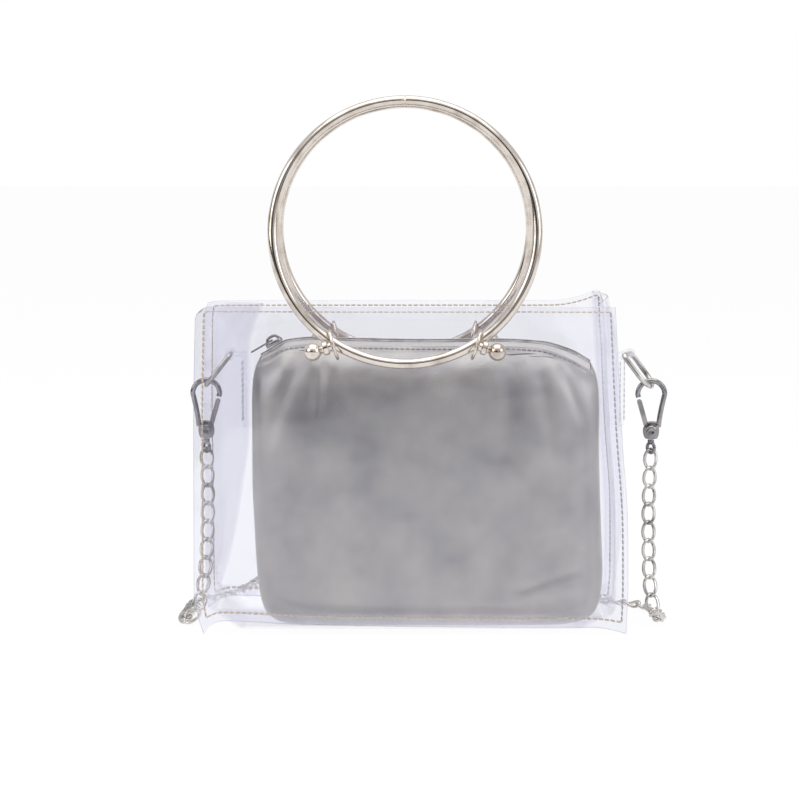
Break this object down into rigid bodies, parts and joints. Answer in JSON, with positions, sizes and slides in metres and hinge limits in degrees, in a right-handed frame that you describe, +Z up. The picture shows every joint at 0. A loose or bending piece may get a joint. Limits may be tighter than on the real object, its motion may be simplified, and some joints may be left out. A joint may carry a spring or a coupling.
{
  "type": "clear box handbag with an inner pouch and a chain strap",
  "caption": "Clear box handbag with a zipped inner pouch, ring handles that swing on screw loops, and a chain strap on snap hooks.",
  "frame": {"origin": "middle of the base on the surface that the bag stands on", "axes": "+X to the right of the front panel, +Y from the front to the back, +Z up"},
  "size_m": [0.2425, 0.4101, 0.2619],
  "materials": {
    "clear_sheet": "smooth clear PVC sheet with a faint lavender tint",
    "silver_leather": "fine-grained silver coated leather",
    "zip_tape": "woven light grey tape",
    "nickel": "polished light warm nickel",
    "dark_chrome": "polished dark nickel",
    "bright_steel": "polished bright steel"
  },
  "bodies": {
    "bag": {"front_panel": "clear_sheet", "back_panel": "clear_sheet", "gusset": "clear_sheet", "pouch_body": "silver_leather", "zip_tape_front": "zip_tape", "zip_tape_back": "zip_tape", "zip_teeth": "bright_steel", "zip_slider": "dark_chrome", "zip_pull": "dark_chrome", "screw_loop_front_left": "nickel", "screw_loop_front_right": "nickel", "screw_loop_back_left": "nickel", "screw_loop_back_right": "nickel", "ball_screw_front_left": "nickel", "ball_screw_front_right": "nickel", "ball_screw_back_left": "nickel", "ball_screw_back_right": "nickel", "strap_tab_left": "clear_sheet", "strap_tab_right": "clear_sheet", "d_ring_left": "bright_steel", "d_ring_right": "bright_steel", "hook_left": "dark_chrome", "hook_right": "dark_chrome", "hook_swivel_left": "dark_chrome", "hook_swivel_right": "dark_chrome", "chain_left": "bright_steel", "chain_right": "bright_steel", "chain_behind": "bright_steel"},
    "handle_front": {"ring_handle_front": "nickel"},
    "handle_back": {"ring_handle_back": "nickel"},
    "gate_left": {"hook_gate_left": "dark_chrome"},
    "gate_right": {"hook_gate_right": "dark_chrome"}
  },
  "joints": [
    {"name": "handle_front_swing", "type": "hinge", "parent": "bag", "child": "handle_front", "pos_m": [0.0005, -0.0387, 0.1424], "axis": [1, 0, 0], "range_deg": [0, 12]},
    {"name": "handle_back_swing", "type": "hinge", "parent": "bag", "child": "handle_back", "pos_m": [0.0005, 0.0387, 0.1424], "axis": [-1, 0, 0], "range_deg": [0, 12]},
    {"name": "gate_left_open", "type": "hinge", "parent": "bag", "child": "gate_left", "pos_m": [-0.09875, 0, 0.09659], "axis": [0, -1, 0], "range_deg": [0, 20], "stiffness_Nm_per_rad": 0.002, "springref_deg": -17.19},
    {"name": "gate_right_open", "type": "hinge", "parent": "bag", "child": "gate_right", "pos_m": [0.12314, -0.00548, 0.09659], "axis": [0, 1, 0], "range_deg": [0, 20], "stiffness_Nm_per_rad": 0.002, "springref_deg": -17.19}
  ]
}
